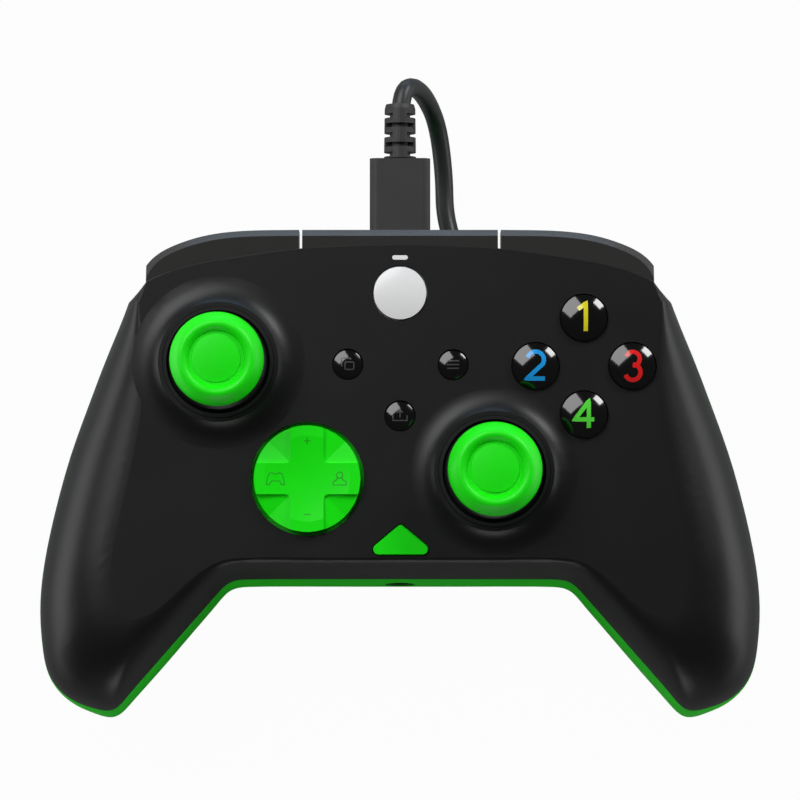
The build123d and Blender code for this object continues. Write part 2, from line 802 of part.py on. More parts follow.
def dpad_disc():
    """The round pad with a raised cross, dished a little."""
    low = under_plate - dpad_flange_drop - dpad_flange_thick
    top = face_height + dpad_rise
    disc = rod(dpad_radius, low, top - dpad_arm_rise, dpad_at)
    disc += rod(dpad_radius + dpad_flange, low, low + dpad_flange_thick, dpad_at)
    cross = Rectangle(dpad_arm_y, 2 * dpad_radius) + Rectangle(2 * dpad_radius, dpad_arm_x)
    inner = [v for v in cross.vertices() if math.hypot(v.X, v.Y) < dpad_radius / 2]
    cross = fillet(inner, dpad_corner)
    arms = extrude(Pos(dpad_at[0], dpad_at[1], low) * cross, amount=top - low)
    disc += arms & rod(dpad_radius, low, top, dpad_at)
    disc -= ball(dpad_dish_radius, dpad_at, top + dpad_dish_radius - dpad_dish_depth)
    disc -= rod(dpad_recess_radius, low - wall, under_plate - dpad_recess_drop, dpad_at)
    return disc


def dpad_heights():
    """Top of the nub, and underside and top of the rocker on it."""
    rocker_top = under_plate - dpad_recess_drop - dpad_rocker_gap
    rocker_low = rocker_top - dpad_rocker_thick
    return rocker_low - running_fit, rocker_low, rocker_top


def dpad_rocker():
    low, high = dpad_heights()[1:]
    return rod(dpad_rocker_radius, low, high, dpad_at)


def dpad_post():
    """The post on the board that the pad rocks on, with its round nub."""
    nub = dpad_heights()[0] - dpad_nub_radius
    return (rod(dpad_post_radius, board_top + membrane_thick, nub, dpad_at)
            + ball(dpad_nub_radius, dpad_at, nub))


def dpad_membrane():
    """The rubber sheet under the pad, with a dome under each arm."""
    spread = dpad_radius
    size = spread + dpad_pad_radius + membrane_margin
    sheet = rod(size, board_top, board_top + membrane_thick, dpad_at)
    low = under_plate - dpad_flange_drop - dpad_flange_thick
    for x, y in ((spread, 0.0), (-spread, 0.0), (0.0, spread), (0.0, -spread)):
        sheet += rod(dpad_pad_radius, board_top, low - dpad_pad_gap,
                     (dpad_at[0] + x, dpad_at[1] + y))
    return sheet


def push_button(at, radius, rise, dome, travel, stem):
    """A round push button with a domed top, a flange and a stem."""
    flange_top = -wall - flange_drop
    flange_low = flange_top - flange_thick
    low = board_top + membrane_thick + membrane_dome + travel + stem_gap - face_height
    edges = [Line((0.0, low), (stem, low)), Line((stem, low), (stem, flange_low)),
             Line((stem, flange_low), (radius + flange_width, flange_low)),
             Line((radius + flange_width, flange_low), (radius + flange_width, flange_top)),
             Line((radius + flange_width, flange_top), (radius, flange_top)),
             Line((radius, flange_top), (radius, rise - dome)),
             dome_arc(radius, rise - dome, rise),
             Line((0.0, rise), (0.0, low))]
    return spun(edges, at, face_height)


def function_button():
    """The triangular button, with a flange under the plate."""
    flange_top = under_plate - flange_drop
    low = board_top + membrane_thick + membrane_dome + small_travel + stem_gap
    top = function_block(0.0, flange_top - flange_thick, face_height + function_rise)
    flange = function_block(flange_width, flange_top - flange_thick, flange_top)
    return top + flange + rod(small_stem_radius, low, flange_top, function_at)


def button_membrane():
    """The rubber sheet under the buttons, with a dome under each stem."""
    high = board_top + membrane_thick
    spots = [(at, stem_radius) for at in diamond_places().values()]
    spots += [(at, small_stem_radius) for at in small_places().values()]
    spots.append((function_at, small_stem_radius))
    sheet = rod(diamond_pitch, board_top, high, diamond_at)
    for at, radius in spots:
        sheet += rod(radius + membrane_margin, board_top, high, at)
        sheet += rod(radius + membrane_margin / 2, board_top, high + membrane_dome, at)
    narrow = small_stem_radius + membrane_margin
    strips = [((view_at[0], menu_at[0]), (view_at[1] - narrow, view_at[1] + narrow)),
              ((menu_at[0], diamond_at[0]), (menu_at[1] - narrow, menu_at[1] + narrow)),
              ((-narrow, narrow), (function_at[1], view_at[1]))]
    for x_range, y_range in strips:
        sheet += block(x_range, y_range, (board_top, high))
    return sheet


def guide_switch():
    """The click switch under the guide button."""
    side = small_stem_radius + membrane_margin
    x, y = guide_at
    return block((x - side, x + side), (y - side, y + small_stem_radius),
                 (board_top, board_top + membrane_thick + membrane_dome))


def stick_switch(at):
    x, y = at
    half = stick_switch_side / 2
    low = board_top + housing_floor
    return block((x - half, x + half), (y - half, y + half), (low, low + stick_switch_height))


def main_board():
    low = board_top - board_thick
    board = block((-board_half, board_half), (-board_front, board_rear), (low, board_top))
    board = chamfer(board.edges().filter_by(Axis.Z), board_corner)
    return board + block((-board_tab_half, board_tab_half), (0.0, board_tab_rear),
                         (low, board_top))


def usb_socket():
    half_w, half_h = usb_width / 2, usb_height / 2
    start = usb_rear - usb_length
    body = block((-half_w, half_w), (start, usb_rear), (usb_axis - half_h, usb_axis + half_h))
    mouth = block((-half_w + usb_wall, half_w - usb_wall), (start + usb_wall, usb_rear + wall),
                  (usb_axis - half_h + usb_wall, usb_axis + half_h - usb_wall))
    return body - mouth


def headset_jack():
    """The jack under the board: a barrel in the front wall and its box."""
    wide, deep, tall = jack_size
    lean = (face_height - jack_height) * lean_share
    front = place_shares(side_waist_shares)[-1][1] - lean
    box_front = front + 2 * wall - running_fit
    body = block((-wide / 2, wide / 2), (box_front, box_front + deep),
                 (jack_height - tall / 2, jack_height + tall / 2))
    body += rod_y(jack_rim_radius, front + jack_fit, box_front, 0.0, jack_height)
    return body - rod_y(jack_radius, -tip_reach, box_front + deep - wall, 0.0, jack_height)


def motor_case(side):
    case = rod_y(motor_radius, motor_front, motor_front + motor_length, side * motor_x,
                 wall + motor_gap + motor_radius)
    return case - rod_y(motor_shaft_radius + running_fit, motor_front + motor_length / 2, 0.0,
                        side * motor_x, wall + motor_gap + motor_radius)


def motor_weight(side):
    """The half-round weight on the motor's shaft."""
    x, z = side * motor_x, wall + motor_gap + motor_radius
    rear = motor_front + motor_length
    start = rear + weight_gap
    weight = rod_y(weight_radius, start, start + weight_length, x, z)
    weight -= block((x - half_width, x + half_width), (start - wall, start + overrun), (z, z + overrun))
    weight += rod_y(weight_hub, start, start + weight_length, x, z)
    return weight + rod_y(motor_shaft_radius, rear - motor_length / 4, start, x, z)


def cable_plug():
    """The soft overmould of the plug at the pad."""
    outline = RectangleRounded(plug_width, plug_thick, plug_corner)
    plane = Plane(origin=(0, plug_rear, usb_axis), x_dir=(1, 0, 0), z_dir=(0, -1, 0))
    return extrude(plane * outline, amount=plug_rear - plug_front)


def plug_tongue():
    """The metal end of the plug, in the socket."""
    half_w = usb_width / 2 - usb_wall - tongue_fit
    half_h = usb_height / 2 - usb_wall - tongue_fit
    return block((-half_w, half_w), (usb_rear - usb_length + wall / 2, plug_front),
                 (usb_axis - half_h, usb_axis + half_h))


def strain_relief():
    """The tapered relief with cuts across its top and bottom."""
    length = relief_end - plug_rear
    relief = Cone(relief_radius, relief_tip, length, align=(Align.CENTER, Align.CENTER, Align.MIN))
    relief = Pos(0, plug_rear, usb_axis) * Rot(-quarter_turn, 0, 0) * relief
    pitch = length / (relief_ribs + 1)
    for i in range(relief_ribs):
        y = plug_rear + pitch * (i + 1)
        depth = relief_radius * relief_cut_share
        for sign in (-1, 1):
            if i % 2:
                cut = block((0.0, relief_radius), (y - relief_cut / 2, y + relief_cut / 2),
                            (usb_axis - relief_radius, usb_axis + relief_radius))
                relief -= Pos(sign * (relief_radius - depth) - (relief_radius if sign < 0 else 0.0),
                              0, 0) * cut
            else:
                cut = block((-relief_radius, relief_radius),
                            (y - relief_cut / 2, y + relief_cut / 2), (0.0, relief_radius))
                shift = relief_radius - depth if sign > 0 else depth - 2 * relief_radius
                relief -= Pos(0, 0, usb_axis + shift) * cut
    return relief


def cord_tube(points, name):
    """A round tube along straight runs joined by the largest arcs that fit."""
    radii = []
    for before, corner, after in zip(points, points[1:], points[2:]):
        first, second = Vector(*corner) - Vector(*before), Vector(*after) - Vector(*corner)
        turn = math.radians(first.get_angle(second))
        radii.append(bend_share * min(first.length, second.length) / math.tan(turn / 2))
    path = FilletPolyline(*points, radius=radii)
    start = Plane(origin=points[0], z_dir=path % 0)
    tube = sweep(start * Circle(cord_radius), path=path)
    print(name, "length", round(path.length, 1), "radii", [round(r, 1) for r in radii],
          "volume share", round(tube.volume / (math.pi * cord_radius ** 2 * path.length), 4))
    return tube


def biarc(first, first_way, last, last_way):
    """Two arcs, tangent to each other, between two points and their directions."""
    gap = last - first
    ways = first_way + last_way
    a = 2 * (1 - first_way.dot(last_way))
    b = 2 * gap.dot(ways)
    c = -gap.dot(gap)
    reach = (-b + math.sqrt(b * b - 4 * a * c)) / (2 * a) if abs(a) > least_turn else -c / b
    middle = (first + last + (first_way - last_way) * reach) * 0.5
    return [Edge.make_tangent_arc(first, first_way, middle),
            Edge.make_tangent_arc(last, -last_way, middle)]


def coil_point(turn):
    """Place and direction on the coil after so many turns from its top outer end."""
    radius, height, way, done = coil_outer, coil_lift + coil_pitch * (len(coil_turns) - 1), -1, 0.0
    for layer, turns in enumerate(coil_turns):
        end = done + turns
        if turn <= end or layer == len(coil_turns) - 1:
            radius += way * coil_pitch * (turn - done)
            break
        radius += way * coil_pitch * turns
        way, done = -way, end
    reversals = [sum(coil_turns[:i + 1]) for i in range(len(coil_turns) - 1)]
    for at in reversals:
        share = min(max((turn - at) / coil_drop_turns + 1 / 2, 0), 1)
        height -= coil_pitch * share
    angle = -2 * math.pi * turn
    x, y = coil_centre
    climbing = any(abs(turn - at) < coil_drop_reach for at in reversals)
    rise = -coil_pitch / (math.pi * radius) * 2 if climbing else 0.0
    place = Vector(x + radius * math.cos(angle), y + radius * math.sin(angle), height)
    return place, Vector(math.sin(angle), -math.cos(angle), rise).normalized()


def make_coil():
    """The put-away cord: one tube that spirals in and out in layers."""
    steps = round(sum(coil_turns) * coil_knots)
    knots = [coil_point(i / coil_knots) for i in range(steps + 1)]
    first, last = knots[0], knots[-1]
    lead = first[0] - first[1] * 2 * cord_radius
    tail = last[0] + last[1] * 2 * cord_radius
    edges = [Edge.make_line(lead, first[0])]
    for (a, a_way), (b, b_way) in zip(knots, knots[1:]):
        one, two = biarc(a, a_way, b, b_way)
        edges += [one, two]
    edges.append(Edge.make_line(last[0], tail))
    path = Wire(edges)
    start = Plane(origin=lead, z_dir=first[1])
    tube = sweep(start * Circle(cord_radius), path=path)
    print("coil length", round(path.length, 1), "volume share",
          round(tube.volume / (math.pi * cord_radius ** 2 * path.length), 4),
          "from", lead, "to", tail)
    print("coil's least gap to itself", round(least_gap(), 3))
    return tube


def least_gap():
    """Least space between parts of the coil that lie half a turn or more apart."""
    count = int(sum(coil_turns) * gap_steps) + 1
    places = [coil_point(i / gap_steps)[0] for i in range(count)]
    gap = coil_outer
    for i, place in enumerate(places):
        for other in places[i + gap_steps // 2:]:
            gap = min(gap, (place - other).length - 2 * cord_radius)
    return gap


def coil_tie():
    """The strap round all turns at one side of the coil."""
    inner = coil_outer - coil_pitch * max(coil_turns) - cord_radius - tie_gap
    outer = coil_outer + cord_radius + tie_gap
    low = coil_lift - cord_radius - tie_gap
    high = coil_lift + coil_pitch * (len(coil_turns) - 1) + cord_radius + tie_gap
    half = tie_width / 2
    strap = block((inner - tie_thick, outer + tie_thick), (-half, half),
                  (low - tie_thick, high + tie_thick))
    strap -= block((inner, outer), (-tie_width, tie_width), (low, high))
    return Pos(coil_centre[0], coil_centre[1], 0) * Rot(0, 0, tie_turn) * strap


def far_plug():
    """The overmould of the plug at the cord's far end, with its short relief."""
    middle = far_plug_height / 2
    outline = RectangleRounded(far_plug_width, far_plug_height, far_plug_corner)
    plane = Plane(origin=(far_plug_x, far_plug_y, middle), x_dir=(1, 0, 0), z_dir=(0, 1, 0))
    body = extrude(plane * outline, amount=far_plug_length)
    return body + rod_y(far_relief_radius, far_plug_y - far_relief_length, far_plug_y,
                        far_plug_x, middle)


def far_shell():
    """The metal shell of the far plug, open at its end."""
    middle = far_plug_height / 2
    half_w, half_h = far_shell_width / 2, far_shell_height / 2
    start = far_plug_y + far_plug_length
    end = start + far_shell_length
    shell = block((far_plug_x - half_w, far_plug_x + half_w), (start, end),
                  (middle - half_h, middle + half_h))
    return shell - block((far_plug_x - half_w + far_shell_wall, far_plug_x + half_w - far_shell_wall),
                         (start + far_shell_wall, end + wall), (middle, middle + half_h - far_shell_wall))


def make_parts():
    """Every node of the pad and its cable, by name."""
    parts = {}
    parts["face_plate"], parts["rear_shell"] = make_shells()
    parts["case_screws"] = make_screws()
    parts["bumper_bridge"] = make_bridge()
    parts["bumper_right"] = make_bumper()
    parts["bumper_left"] = mirror(parts["bumper_right"], about=Plane.YZ)
    parts["trigger_right"] = make_trigger()
    parts["trigger_left"] = mirror(parts["trigger_right"], about=Plane.YZ)
    parts["trigger_pins"] = both_sides(trigger_pin())
    parts["trigger_springs"] = both_sides(trigger_spring())
    parts["shoulder_frame"] = make_shoulder_frame()
    for side, at in (("left", left_stick_at), ("right", right_stick_at)):
        parts[side + "_stick_cap"] = stick_cap(at)
        parts[side + "_stick_stem"] = stick_stem(at)
        parts[side + "_stick_ring"] = stick_ring(at)
        parts[side + "_stick_housing"] = stick_housing(at)
        parts[side + "_stick_rocker"] = stick_rocker(at)
        parts[side + "_stick_swivel"] = stick_swivel(at)
    parts["stick_sensors"] = stick_sensors(left_stick_at) + stick_sensors(right_stick_at)
    parts["stick_springs"] = stick_spring(left_stick_at) + stick_spring(right_stick_at)
    parts["dpad_disc"] = dpad_disc()
    parts["dpad_rocker"] = dpad_rocker()
    parts["dpad_post"] = dpad_post()
    parts["dpad_membrane"] = dpad_membrane()
    for name, at in diamond_places().items():
        parts[name] = push_button(at, button_radius, button_rise, button_dome, button_travel,
                                  stem_radius)
    for name, at in small_places().items():
        parts[name] = push_button(at, small_radius, small_rise, small_dome, small_travel,
                                  small_stem_radius)
    parts["guide_button"] = push_button(guide_at, guide_radius, guide_rise, guide_dome,
                                        guide_travel, small_stem_radius)
    parts["function_button"] = function_button()
    parts["status_light"] = light_block(0.0, face_height - light_depth, face_height)
    parts["button_membrane"] = button_membrane()
    parts["click_switches"] = (guide_switch() + stick_switch(left_stick_at)
                               + stick_switch(right_stick_at))
    parts["main_board"] = main_board()
    parts["usb_socket"] = usb_socket()
    parts["headset_jack"] = headset_jack()
    for side, sign in (("left", -1), ("right", 1)):
        parts["rumble_motor_" + side] = motor_case(sign)
        parts["rumble_weight_" + side] = motor_weight(sign)
    for side, plane in zip(("left", "right"), rear_button_planes()):
        parts["rear_button_" + side] = rear_button_block(plane, 0.0, rear_button_proud,
                                                         rear_button_thick - rear_button_proud)
    parts["cable_plug"] = cable_plug()
    parts["plug_tongue"] = plug_tongue()
    parts["strain_relief"] = strain_relief()
    parts["cord"] = cord_tube(cord_route, "cord")
    parts["cord_coil"] = make_coil()
    parts["cord_tail"] = cord_tube(tail_route, "tail")
    parts["coil_tie"] = coil_tie()
    parts["far_plug"] = far_plug()
    parts["far_plug_shell"] = far_shell()
    return parts


def save_parts():
    """Shift the pad so that the origin is under its middle, and write each node."""
    parts = make_parts()
    front = parts["rear_shell"].bounding_box().min.Y
    rear = parts["bumper_bridge"].bounding_box().max.Y
    shift = Pos(0, -(front + rear) / 2, 0)
    print("shift along Y", round(-(front + rear) / 2, 5), "nodes", len(parts))
    os.makedirs("parts", exist_ok=True)
    for name, piece in parts.items():
        export_step(shift * piece, "parts/" + name + ".step")


save_parts()
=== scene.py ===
import bpy
import bmesh
import math
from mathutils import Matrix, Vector


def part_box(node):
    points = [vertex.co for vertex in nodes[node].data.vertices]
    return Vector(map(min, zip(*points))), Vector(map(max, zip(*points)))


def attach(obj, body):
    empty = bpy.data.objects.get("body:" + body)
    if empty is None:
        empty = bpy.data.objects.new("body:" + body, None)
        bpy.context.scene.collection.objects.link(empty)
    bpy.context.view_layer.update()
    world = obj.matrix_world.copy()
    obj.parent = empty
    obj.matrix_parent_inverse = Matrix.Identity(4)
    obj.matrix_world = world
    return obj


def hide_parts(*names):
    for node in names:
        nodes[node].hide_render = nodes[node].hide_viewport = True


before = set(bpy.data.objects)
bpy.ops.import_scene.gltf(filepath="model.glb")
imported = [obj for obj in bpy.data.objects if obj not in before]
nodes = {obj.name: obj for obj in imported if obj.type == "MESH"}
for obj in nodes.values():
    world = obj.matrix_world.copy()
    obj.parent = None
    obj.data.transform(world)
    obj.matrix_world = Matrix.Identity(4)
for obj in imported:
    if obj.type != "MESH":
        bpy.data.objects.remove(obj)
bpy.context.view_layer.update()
scene = bpy.context.scene
print("frame loaded:", len(nodes), "pieces")

mm = 0.001
lightReach = 30.4  # from the middle of the face to the status light, in mm
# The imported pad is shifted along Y, so the light's place gives the face's own middle.
lightLow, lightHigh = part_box("status_light")
rearShift = (lightLow.y + lightHigh.y) / 2 / mm - lightReach
faceTop = lightHigh.z / mm


def place(x, y, z):
    # a point given in millimetres from under the middle of the face
    return Vector((x * mm, (y + rearShift) * mm, z * mm))


# Camera: nearly straight above, tipped a little towards the player

cameraView = {"tilt": 3.5, "distance": 1.1, "frameWidth": 0.170, "sensor": 36.0, "farEnd": 20}


def addCamera(view):
    camera = bpy.data.objects.new("camera", bpy.data.cameras.new("camera"))
    tilt = math.radians(view["tilt"])
    target = place(0.0, 0.0, faceTop)
    camera.location = target + Vector((0, -math.sin(tilt), math.cos(tilt))) * view["distance"]
    camera.rotation_euler = (tilt, 0, 0)
    camera.data.sensor_width = view["sensor"]
    camera.data.lens = view["sensor"] * view["distance"] / view["frameWidth"]
    camera.data.clip_end = view["farEnd"]
    scene.collection.objects.link(camera)
    scene.camera = camera


addCamera(cameraView)
print("camera set")


# Cable: the loop at the plug, the put-away coil and the tail, as one line

cable = {
    "radius": 2.0,
    "route": [
        (0.0, 61.5, 32.7), (0.3, 67.1, 32.7), (2.6, 69.0, 30.0), (5.4, 67.6, 22.5),
        (8.3, 62.3, 14.0), (9.7, 51.4, 11.2), (9.8, 42.0, 11.6), (12.6, 33.4, 13.4),
        (20.0, 26.0, 15.6), (27.6, 19.4, 16.2), (32.9, 11.6, 16.2), (32.9, 4.0, 16.2)],
    "tail": [
        (-2.0, -29.7875, 2.85), (-12.0, -29.7875, 2.85), (-23.6, -27.2, 3.0),
        (-33.2, -21.4, 3.6), (-39.2, -13.6, 4.0), (-39.2, -6.0, 4.0)],
    "centre": (2.0, 0.0),
    "outer": 30.9,
    "pitch": 4.45,
    "turns": (4.0, 4.0, 3.75, 3.5),
    "lift": 2.85,
    "stepTurn": 0.5,  # the share of a turn in which the coil drops by one layer
    "pointsPerTurn": 16,
    "length": 2.275,
}


def coilPoints(spec):
    points = []
    perTurn = spec["pointsPerTurn"]
    reach = 1 / math.cos(math.pi / perTurn)
    reversals = [sum(spec["turns"][:i + 1]) for i in range(len(spec["turns"]) - 1)]
    top = spec["lift"] + spec["pitch"] * len(reversals)
    total = sum(spec["turns"])
    for step in range(1, int(total * perTurn)):
        turn = step / perTurn
        radius, way, done = spec["outer"], -1, 0.0
        for turns in spec["turns"]:
            part = min(max(turn - done, 0.0), turns)
            radius += way * spec["pitch"] * part
            way, done = -way, done + turns
        height = top
        for at in reversals:
            height -= spec["pitch"] * min(max((turn - at) / spec["stepTurn"] + 0.5, 0.0), 1.0)
        angle = -2 * math.pi * turn
        points.append((spec["centre"][0] + radius * reach * math.cos(angle),
                       spec["centre"][1] + radius * reach * math.sin(angle), height))
    return points


def splineCurve(name, points, radius, resolution=5, bevel=5):
    data = bpy.data.curves.new(name, "CURVE")
    data.dimensions = "3D"
    data.resolution_u = resolution
    data.bevel_depth = radius * mm
    data.bevel_resolution = bevel
    data.use_fill_caps = True
    spline = data.splines.new("NURBS")
    spline.points.add(len(points) - 1)
    for target, point in zip(spline.points, points):
        target.co = (*place(*point), 1.0)
    spline.order_u = 3
    spline.use_endpoint_u = True
    piece = bpy.data.objects.new(name, data)
    scene.collection.objects.link(piece)
    return piece


cableLine = splineCurve("cable_line", cable["route"] + coilPoints(cable) + cable["tail"],
                        cable["radius"])
print("cable laid")


# Shader node groups shared by the finishes

grainLook = {"detail": 3.0, "broadDetail": 2.0, "broadening": 40.0, "strength": 0.6}
handMarks = {"scale": 45.0, "detail": 4.0, "distortion": 0.6}


def newGroup(name, inputs, outputs):
    group = bpy.data.node_groups.new(name, "ShaderNodeTree")
    for label, value in inputs:
        socket = group.interface.new_socket(label, in_out="INPUT", socket_type="NodeSocketFloat")
        socket.default_value = value
    for label in outputs:
        group.interface.new_socket(label, in_out="OUTPUT", socket_type="NodeSocketFloat")
    entry = group.nodes.new("NodeGroupInput")
    result = group.nodes.new("NodeGroupOutput")
    return group, entry, result


def mathNode(tree, operation, first, second):
    node = tree.nodes.new("ShaderNodeMath")
    node.operation = operation
    for socket, value in zip(node.inputs, (first, second)):
        if isinstance(value, (int, float)):
            socket.default_value = value
        else:
            tree.links.new(value, socket)
    return node.outputs[0]


def mouldedGrainGroup(look):
    # spark-eroded grain: fine pits with a broader unevenness under them
    group, entry, result = newGroup("mouldedGrain", [("Scale", 4000.0), ("Unevenness", 0.3)],
                                    ["Height", "Patch"])
    coords = group.nodes.new("ShaderNodeTexCoord")
    fine = group.nodes.new("ShaderNodeTexNoise")
    fine.inputs["Detail"].default_value = look["detail"]
    broad = group.nodes.new("ShaderNodeTexNoise")
    broad.inputs["Detail"].default_value = look["broadDetail"]
    group.links.new(coords.outputs["Object"], fine.inputs["Vector"])
    group.links.new(coords.outputs["Object"], broad.inputs["Vector"])
    group.links.new(entry.outputs["Scale"], fine.inputs["Scale"])
    group.links.new(mathNode(group, "DIVIDE", entry.outputs["Scale"], look["broadening"]),
                    broad.inputs["Scale"])
    patch = mathNode(group, "MULTIPLY", broad.outputs["Fac"], entry.outputs["Unevenness"])
    height = mathNode(group, "ADD", fine.outputs["Fac"], patch)
    group.links.new(height, result.inputs["Height"])
    group.links.new(broad.outputs["Fac"], result.inputs["Patch"])
    return group


def handlingGroup(look):
    # faint smudges from hands, which change only the gloss
    group, entry, result = newGroup("handling", [("Amount", 0.1)], ["Gloss"])
    coords = group.nodes.new("ShaderNodeTexCoord")
    smudge = group.nodes.new("ShaderNodeTexNoise")
    smudge.inputs["Scale"].default_value = look["scale"]
    smudge.inputs["Detail"].default_value = look["detail"]
    smudge.inputs["Distortion"].default_value = look["distortion"]
    group.links.new(coords.outputs["Object"], smudge.inputs["Vector"])
    centred = mathNode(group, "SUBTRACT", smudge.outputs["Fac"], 0.5)
    group.links.new(mathNode(group, "MULTIPLY", centred, entry.outputs["Amount"]),
                    result.inputs["Gloss"])
    return group


mouldedGrain = mouldedGrainGroup(grainLook)
handling = handlingGroup(handMarks)


def newMaterial(name):
    material = bpy.data.materials.new(name)
    material.use_nodes = True
    return material, material.node_tree, material.node_tree.nodes["Principled BSDF"]


def finish(name, colour, second, roughness, grain, relief, smudge=0.1, uneven=0.3, metallic=0.0,
           coat=0.0, coatRoughness=0.05, specular=0.5):
    # colour drifts to the second one in broad patches; relief is the grain's depth in metres
    material, tree, shader = newMaterial(name)
    grainNode = tree.nodes.new("ShaderNodeGroup")
    grainNode.node_tree = mouldedGrain
    grainNode.inputs["Scale"].default_value = grain
    grainNode.inputs["Unevenness"].default_value = uneven
    touch = tree.nodes.new("ShaderNodeGroup")
    touch.node_tree = handling
    touch.inputs["Amount"].default_value = smudge
    mix = tree.nodes.new("ShaderNodeMix")
    mix.data_type = "RGBA"
    mix.inputs["A"].default_value = (*colour, 1)
    mix.inputs["B"].default_value = (*second, 1)
    tree.links.new(grainNode.outputs["Patch"], mix.inputs["Factor"])
    tree.links.new(mix.outputs["Result"], shader.inputs["Base Color"])
    tree.links.new(mathNode(tree, "ADD", touch.outputs["Gloss"], roughness),
                   shader.inputs["Roughness"])
    bump = tree.nodes.new("ShaderNodeBump")
    bump.inputs["Distance"].default_value = relief
    bump.inputs["Strength"].default_value = grainLook["strength"]
    tree.links.new(grainNode.outputs["Height"], bump.inputs["Height"])
    tree.links.new(bump.outputs["Normal"], shader.inputs["Normal"])
    shader.inputs["Metallic"].default_value = metallic
    shader.inputs["Coat Weight"].default_value = coat
    shader.inputs["Coat Roughness"].default_value = coatRoughness
    shader.inputs["Specular IOR Level"].default_value = specular
    return material


tieWeave = {"threads": 900.0, "depth": 0.0002, "roughness": 0.9, "sheen": 0.3,
            "low": (0.006, 0.006, 0.007, 1), "high": (0.035, 0.035, 0.038, 1)}


def wovenTie(weave):
    # hook and loop strap: fine crossing threads
    material, tree, shader = newMaterial("wovenTie")
    coords = tree.nodes.new("ShaderNodeTexCoord")
    warp = tree.nodes.new("ShaderNodeTexWave")
    weft = tree.nodes.new("ShaderNodeTexWave")
    weft.bands_direction = "Y"
    for wave in (warp, weft):
        wave.inputs["Scale"].default_value = weave["threads"]
        tree.links.new(coords.outputs["Object"], wave.inputs["Vector"])
    threads = mathNode(tree, "MULTIPLY", warp.outputs["Fac"], weft.outputs["Fac"])
    ramp = tree.nodes.new("ShaderNodeValToRGB")
    ramp.color_ramp.elements[0].color = weave["low"]
    ramp.color_ramp.elements[1].color = weave["high"]
    tree.links.new(threads, ramp.inputs["Fac"])
    tree.links.new(ramp.outputs["Color"], shader.inputs["Base Color"])
    bump = tree.nodes.new("ShaderNodeBump")
    bump.inputs["Distance"].default_value = weave["depth"]
    tree.links.new(threads, bump.inputs["Height"])
    tree.links.new(bump.outputs["Normal"], shader.inputs["Normal"])
    shader.inputs["Roughness"].default_value = weave["roughness"]
    shader.inputs["Sheen Weight"].default_value = weave["sheen"]
    return material


def turnedSteel():
    # drawn and turned metal: fine rings and a bright, slightly uneven gloss
    return finish("turnedSteel", (0.56, 0.56, 0.57), (0.48, 0.48, 0.5), 0.32, 9000.0, 0.00001,
                  smudge=0.2, metallic=1.0)


padFacets = {"armHalf": (3.5 * mm, 3.3 * mm), "slope": 0.16}


def facetedGreen(name, centre, armHalf, slope):
    # the pad's four hollows fall away from the cross towards their diagonals
    material = finish(name, (0.005, 0.87, 0.002), (0.008, 0.92, 0.004), 0.34, 5200.0, 0.00001,
                      smudge=0.06, specular=0.35)
    tree = material.node_tree
    shader = tree.nodes["Principled BSDF"]
    grain = shader.inputs["Normal"].links[0].from_node
    coords = tree.nodes.new("ShaderNodeTexCoord")
    axes = tree.nodes.new("ShaderNodeSeparateXYZ")
    tree.links.new(coords.outputs["Object"], axes.inputs["Vector"])
    depths = []
    for axis, middle, half in zip(("X", "Y"), centre, armHalf):
        away = mathNode(tree, "ABSOLUTE", mathNode(tree, "SUBTRACT", axes.outputs[axis], middle), 0)
        depths.append(mathNode(tree, "MAXIMUM", mathNode(tree, "SUBTRACT", away, half), 0.0))
    fall = mathNode(tree, "MINIMUM", depths[0], depths[1])
    facets = tree.nodes.new("ShaderNodeBump")
    facets.inputs["Distance"].default_value = 1.0
    facets.inputs["Strength"].default_value = 1.0
    tree.links.new(mathNode(tree, "MULTIPLY", fall, -slope), facets.inputs["Height"])
    tree.links.new(grain.outputs["Normal"], facets.inputs["Normal"])
    tree.links.new(facets.outputs["Normal"], shader.inputs["Normal"])
    return material


padLow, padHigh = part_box("dpad_disc")
padCentre = ((padLow.x + padHigh.x) / 2, (padLow.y + padHigh.y) / 2)

